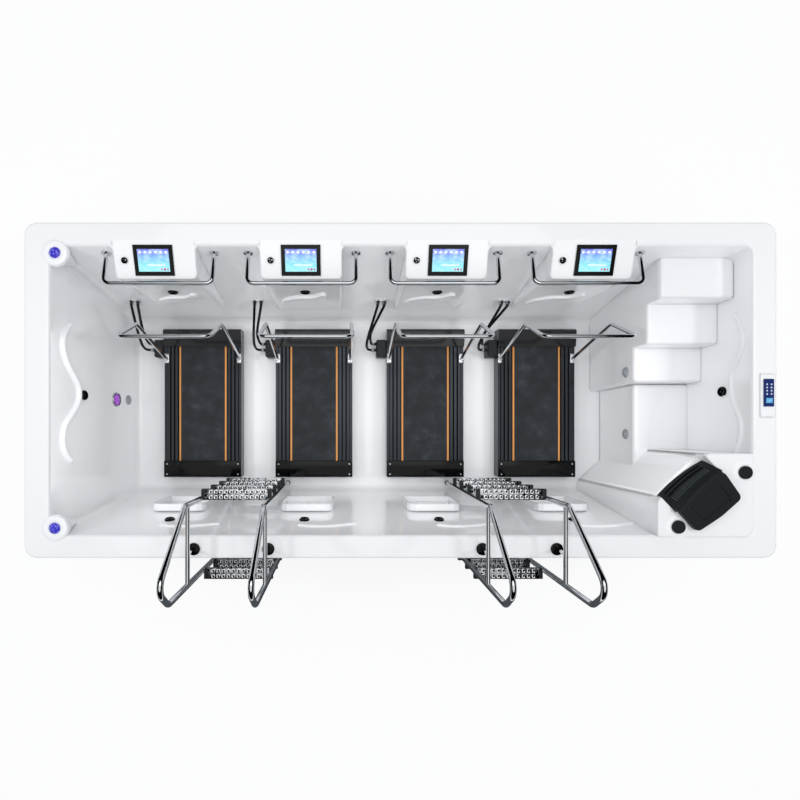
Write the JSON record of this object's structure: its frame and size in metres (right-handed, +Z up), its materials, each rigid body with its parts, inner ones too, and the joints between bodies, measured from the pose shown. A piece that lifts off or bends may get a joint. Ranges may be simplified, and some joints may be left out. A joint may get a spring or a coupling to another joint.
{
  "type": "underwater treadmill pool",
  "caption": "Rectangular acrylic therapy pool with underwater treadmills, consoles, grab rails, entry ladders, steps, bench and a filter corner.",
  "frame": {"origin": "on the ground under the middle of the tub's outer rim", "axes": "+X towards the entry steps and the filter corner, +Y towards the consoles, +Z up"},
  "size_m": [5.6, 2.731, 2.1442],
  "materials": {
    "acrylic_shell": "gloss, moulded",
    "polished_stainless": "polished",
    "frame_steel": "galvanised",
    "cabinet_panel": "matt",
    "black_moulding": "matt",
    "hood_black": "gloss",
    "deck_alloy": "dark anodised",
    "roller_steel": "satin",
    "belt_rubber": "matt, worn",
    "hose_rubber": "satin",
    "display": "glossy display glass",
    "keypad_navy": "membrane film",
    "violet_lens": "clear lens",
    "magenta_lens": "clear lens",
    "filter_fleece": "pleated"
  },
  "bodies": {
    "pool": {"pool_shell": "acrylic_shell", "support_frame": "frame_steel", "cabinet_back": "cabinet_panel", "cabinet_front": "cabinet_panel", "circulation_pump": "black_moulding", "filter_housing": "black_moulding", "filter_cartridge": "filter_fleece", "control_panel": "keypad_navy", "led_light": "magenta_lens", "corner_light_1": "violet_lens", "corner_light_2": "violet_lens", "screen_1": "display", "grab_rail_1": "polished_stainless", "treadmill_deck_1": "deck_alloy", "running_belt_1": "belt_rubber", "motor_hood_1": "hood_black", "drive_motor_1": "black_moulding", "handrail_1": "polished_stainless", "hose_pair_1": "hose_rubber", "screen_2": "display", "grab_rail_2": "polished_stainless", "treadmill_deck_2": "deck_alloy", "running_belt_2": "belt_rubber", "motor_hood_2": "hood_black", "drive_motor_2": "black_moulding", "handrail_2": "polished_stainless", "hose_pair_2": "hose_rubber", "screen_3": "display", "grab_rail_3": "polished_stainless", "treadmill_deck_3": "deck_alloy", "running_belt_3": "belt_rubber", "motor_hood_3": "hood_black", "drive_motor_3": "black_moulding", "handrail_3": "polished_stainless", "hose_pair_3": "hose_rubber", "screen_4": "display", "grab_rail_4": "polished_stainless", "treadmill_deck_4": "deck_alloy", "running_belt_4": "belt_rubber", "motor_hood_4": "hood_black", "drive_motor_4": "black_moulding", "handrail_4": "polished_stainless", "hose_pair_4": "hose_rubber"},
    "filter_lid": {"filter_lid": "black_moulding"},
    "diverter_knob_1": {"diverter_knob_1": "black_moulding"},
    "diverter_knob_2": {"diverter_knob_2": "black_moulding"},
    "ladder_1": {"ladder_1": "polished_stainless"},
    "ladder_2": {"ladder_2": "polished_stainless"},
    "start_button_1": {"start_button_1": "polished_stainless"},
    "drive_roller_1": {"drive_roller_1": "roller_steel"},
    "tail_roller_1": {"tail_roller_1": "roller_steel"},
    "start_button_2": {"start_button_2": "polished_stainless"},
    "drive_roller_2": {"drive_roller_2": "roller_steel"},
    "tail_roller_2": {"tail_roller_2": "roller_steel"},
    "start_button_3": {"start_button_3": "polished_stainless"},
    "drive_roller_3": {"drive_roller_3": "roller_steel"},
    "tail_roller_3": {"tail_roller_3": "roller_steel"},
    "start_button_4": {"start_button_4": "polished_stainless"},
    "drive_roller_4": {"drive_roller_4": "roller_steel"},
    "tail_roller_4": {"tail_roller_4": "roller_steel"}
  },
  "joints": [
    {"name": "start_button_1_press", "type": "slide", "parent": "pool", "child": "start_button_1", "axis": [0, 0.2924, -0.9563], "range_m": [0, 0.003], "stiffness_N_per_m": 1000, "springref_m": -0.01},
    {"name": "drive_roller_1_turn", "type": "hinge", "parent": "pool", "child": "drive_roller_1", "pos_m": [-1.80225, 0.545, 0.242], "axis": [1, 0, 0], "continuous": true},
    {"name": "tail_roller_1_turn", "type": "hinge", "parent": "pool", "child": "tail_roller_1", "pos_m": [-1.80225, -0.672, 0.249], "axis": [1, 0, 0], "continuous": true},
    {"name": "start_button_2_press", "type": "slide", "parent": "pool", "child": "start_button_2", "axis": [0, 0.2924, -0.9563], "range_m": [0, 0.003], "stiffness_N_per_m": 1000, "springref_m": -0.01},
    {"name": "drive_roller_2_turn", "type": "hinge", "parent": "pool", "child": "drive_roller_2", "pos_m": [-0.71575, 0.545, 0.242], "axis": [1, 0, 0], "continuous": true},
    {"name": "tail_roller_2_turn", "type": "hinge", "parent": "pool", "child": "tail_roller_2", "pos_m": [-0.71575, -0.672, 0.249], "axis": [1, 0, 0], "continuous": true},
    {"name": "start_button_3_press", "type": "slide", "parent": "pool", "child": "start_button_3", "axis": [0, 0.2924, -0.9563], "range_m": [0, 0.003], "stiffness_N_per_m": 1000, "springref_m": -0.01},
    {"name": "drive_roller_3_turn", "type": "hinge", "parent": "pool", "child": "drive_roller_3", "pos_m": [0.37075, 0.545, 0.242], "axis": [1, 0, 0], "continuous": true},
    {"name": "tail_roller_3_turn", "type": "hinge", "parent": "pool", "child": "tail_roller_3", "pos_m": [0.37075, -0.672, 0.249], "axis": [1, 0, 0], "continuous": true},
    {"name": "start_button_4_press", "type": "slide", "parent": "pool", "child": "start_button_4", "axis": [0, 0.2924, -0.9563], "range_m": [0, 0.003], "stiffness_N_per_m": 1000, "springref_m": -0.01},
    {"name": "drive_roller_4_turn", "type": "hinge", "parent": "pool", "child": "drive_roller_4", "pos_m": [1.45725, 0.545, 0.242], "axis": [1, 0, 0], "continuous": true},
    {"name": "tail_roller_4_turn", "type": "hinge", "parent": "pool", "child": "tail_roller_4", "pos_m": [1.45725, -0.672, 0.249], "axis": [1, 0, 0], "continuous": true},
    {"name": "diverter_knob_1_turn", "type": "hinge", "parent": "pool", "child": "diverter_knob_1", "pos_m": [2.56, -0.611, 1.4503], "axis": [0, 0, 1], "range_deg": [0, 180]},
    {"name": "diverter_knob_2_turn", "type": "hinge", "parent": "pool", "child": "diverter_knob_2", "pos_m": [2.063, -1.015, 1.4503], "axis": [0, 0, 1], "range_deg": [0, 180]},
    {"name": "filter_lid_lift", "type": "slide", "parent": "pool", "child": "filter_lid", "axis": [0, 0, 1], "range_m": [0, 0.25]},
    {"name": "ladder_1_lift", "type": "slide", "parent": "pool", "child": "ladder_1", "axis": [0, 0, 1], "range_m": [0, 0.3]},
    {"name": "ladder_2_lift", "type": "slide", "parent": "pool", "child": "ladder_2", "axis": [0, 0, 1], "range_m": [0, 0.3]}
  ],
  "couplings": [
    {"joint": "tail_roller_1_turn", "follows": "drive_roller_1_turn", "ratio": 1.25},
    {"joint": "tail_roller_2_turn", "follows": "drive_roller_2_turn", "ratio": 1.25},
    {"joint": "tail_roller_3_turn", "follows": "drive_roller_3_turn", "ratio": 1.25},
    {"joint": "tail_roller_4_turn", "follows": "drive_roller_4_turn", "ratio": 1.25}
  ]
}
